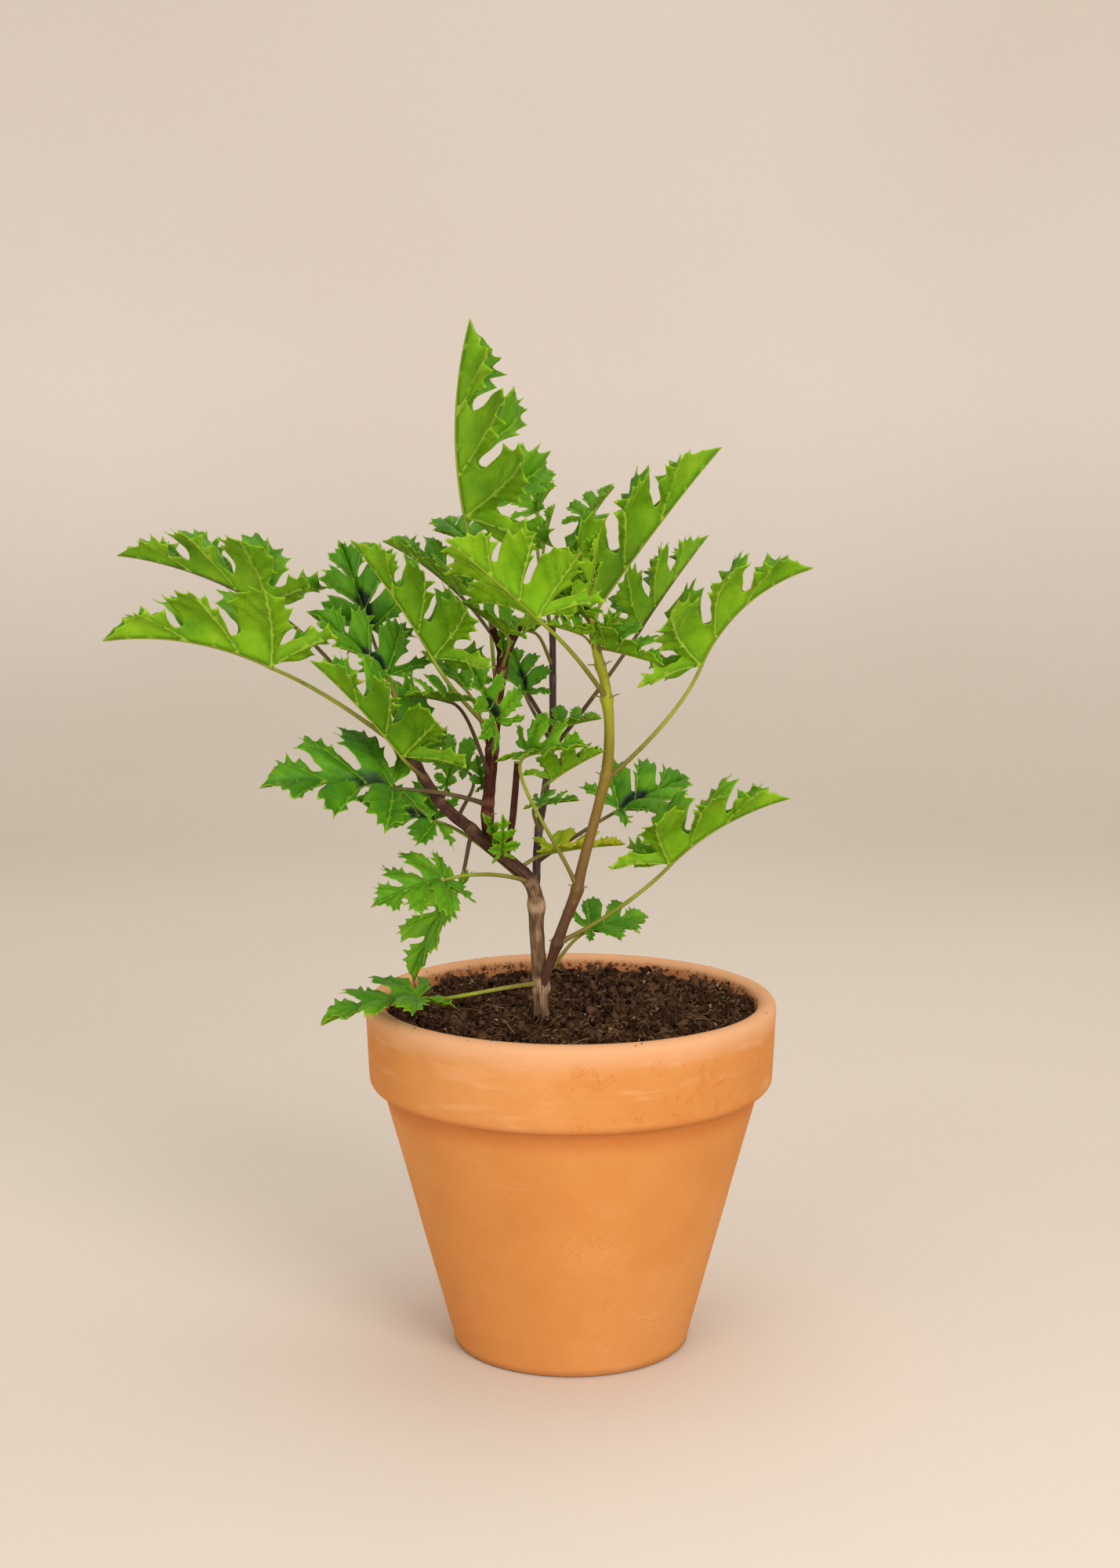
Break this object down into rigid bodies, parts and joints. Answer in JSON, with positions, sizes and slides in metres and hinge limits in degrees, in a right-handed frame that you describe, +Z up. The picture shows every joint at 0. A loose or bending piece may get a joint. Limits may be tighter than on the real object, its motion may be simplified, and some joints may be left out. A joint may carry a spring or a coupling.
{
  "type": "potted geranium",
  "caption": "Scented geranium plant with deeply lobed leaves on branching stems, growing in a round terracotta pot filled with compost.",
  "frame": {"origin": "centre of the pot's base face, on the pot's axis", "axes": "+Z up along the pot's axis; the plant leans and spreads furthest towards -X; -Y faces the viewer of the front"},
  "size_m": [0.3002, 0.18, 0.4451],
  "materials": {
    "terracotta": "matte fired clay",
    "compost": "coarse moist compost",
    "bark": "furrowed bark",
    "red_stem": "semi-matte woody stem",
    "green_stem": "satin green stem",
    "leaf_green": "soft satin leaf"
  },
  "bodies": {
    "root": {"back_branch": "red_stem", "centre_branch": "red_stem", "cut_stub": "red_stem", "leaf_centre_dark": "leaf_green", "leaf_centre_left": "leaf_green", "leaf_centre_right": "leaf_green", "leaf_centre_small": "leaf_green", "leaf_centre_yellow_stalk": "leaf_green", "leaf_crinkled": "leaf_green", "leaf_front_pale": "leaf_green", "leaf_hanging": "leaf_green", "leaf_inner_blotched": "leaf_green", "leaf_left_blotched": "leaf_green", "leaf_left_dark": "leaf_green", "leaf_left_high_tip": "leaf_green", "leaf_left_inner": "leaf_green", "leaf_left_level": "leaf_green", "leaf_left_low_tip": "leaf_green", "leaf_left_lower": "leaf_green", "leaf_left_middle": "leaf_green", "leaf_left_upper": "leaf_green", "leaf_over_rim": "leaf_green", "leaf_rear_dark": "leaf_green", "leaf_rear_inner": "leaf_green", "leaf_rear_left": "leaf_green", "leaf_rear_middle": "leaf_green", "leaf_rear_pale": "leaf_green", "leaf_rear_right": "leaf_green", "leaf_rear_small": "leaf_green", "leaf_rear_top": "leaf_green", "leaf_rear_upper": "leaf_green", "leaf_right_blotched": "leaf_green", "leaf_right_far": "leaf_green", "leaf_right_inner": "leaf_green", "leaf_right_low_small": "leaf_green", "leaf_right_lower": "leaf_green", "leaf_right_rear": "leaf_green", "leaf_right_tall": "leaf_green", "leaf_tiny_centre": "leaf_green", "leaf_tiny_left": "leaf_green", "leaf_tiny_pale": "leaf_green", "leaf_top": "leaf_green", "leaf_yellowing": "leaf_green", "leaf_young": "leaf_green", "main_stem": "bark", "pot": "terracotta", "right_branch": "green_stem", "soil": "compost"}
  },
  "joints": []
}
